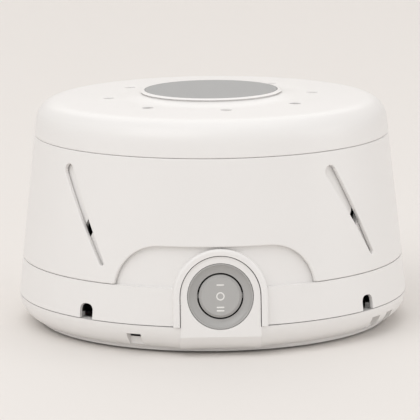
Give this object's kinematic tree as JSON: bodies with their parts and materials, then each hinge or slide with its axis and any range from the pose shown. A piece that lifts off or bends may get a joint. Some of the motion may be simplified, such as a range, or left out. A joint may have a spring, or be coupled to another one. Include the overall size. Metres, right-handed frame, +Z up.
{
  "type": "white noise sound machine",
  "caption": "Round white noise machine: a fan in a slotted drum, under a turning slotted collar and a turning cap with holes, on a base pan with a round rocker switch.",
  "frame": {"origin": "centre of the bounding box's bottom, on the table under the fan's axis", "axes": "+Z up along the fan's axis, -Y towards the switch, +X to the right of a person who faces the switch"},
  "size_m": [0.146, 0.1481, 0.0867],
  "materials": {
    "shell_white": "moulded, soft gloss",
    "switch_grey": "satin moulded",
    "emblem_grey": "fine satin",
    "black_plastic": "satin moulded",
    "foot_rubber": "soft matte",
    "zinc_steel": "zinc plated",
    "lamination_steel": "stacked sheet, dull",
    "shaft_steel": "ground",
    "copper": "enamelled copper",
    "bearing_bronze": "sintered, oiled",
    "bobbin_nylon": "moulded nylon",
    "fan_plastic": "moulded",
    "fibre": "pressed fibre",
    "lead_red": "flexible sleeve",
    "tin_brass": "tinned"
  },
  "bodies": {
    "base": {"base_pan": "shell_white", "rubber_feet": "foot_rubber", "base_screws": "zinc_steel", "inner_housing": "shell_white", "cord_gland": "shell_white", "switch_bezel": "switch_grey", "switch_body": "black_plastic", "switch_terminals": "tin_brass", "cap_screw": "zinc_steel", "cap_washer": "zinc_steel", "motor_plate": "zinc_steel", "motor_grommets": "foot_rubber", "grommet_screws": "zinc_steel", "lower_bracket": "zinc_steel", "upper_bracket": "zinc_steel", "lower_bearing": "bearing_bronze", "upper_bearing": "bearing_bronze", "lamination_stack": "lamination_steel", "shading_rings": "copper", "coil_bobbin": "bobbin_nylon", "coil_winding": "copper", "motor_screws": "zinc_steel", "motor_nuts": "zinc_steel", "spade_connectors": "tin_brass", "lead_wires": "lead_red"},
    "collar": {"collar": "shell_white"},
    "cap": {"cap": "shell_white", "emblem_ring": "shell_white", "emblem_disc": "emblem_grey"},
    "rocker": {"rocker_button": "switch_grey"},
    "fan_rotor": {"rotor_core": "lamination_steel", "motor_shaft": "shaft_steel", "thrust_washers": "fibre", "fan_wheel": "fan_plastic", "fan_clip": "zinc_steel"}
  },
  "joints": [
    {"name": "collar_turn", "type": "hinge", "parent": "base", "child": "collar", "pos_m": [0, 0, 0.048], "axis": [0, 0, 1], "range_deg": [-14, 17]},
    {"name": "cap_turn", "type": "hinge", "parent": "base", "child": "cap", "pos_m": [0, 0, 0.078], "axis": [0, 0, 1], "range_deg": [-22, 22]},
    {"name": "switch_rock", "type": "hinge", "parent": "base", "child": "rocker", "pos_m": [0, -0.06763, 0.02164], "axis": [1, 0, 0], "range_deg": [-9, 9]},
    {"name": "fan_spin", "type": "hinge", "parent": "base", "child": "fan_rotor", "pos_m": [0, 0, 0.03], "axis": [0, 0, 1], "continuous": true}
  ]
}
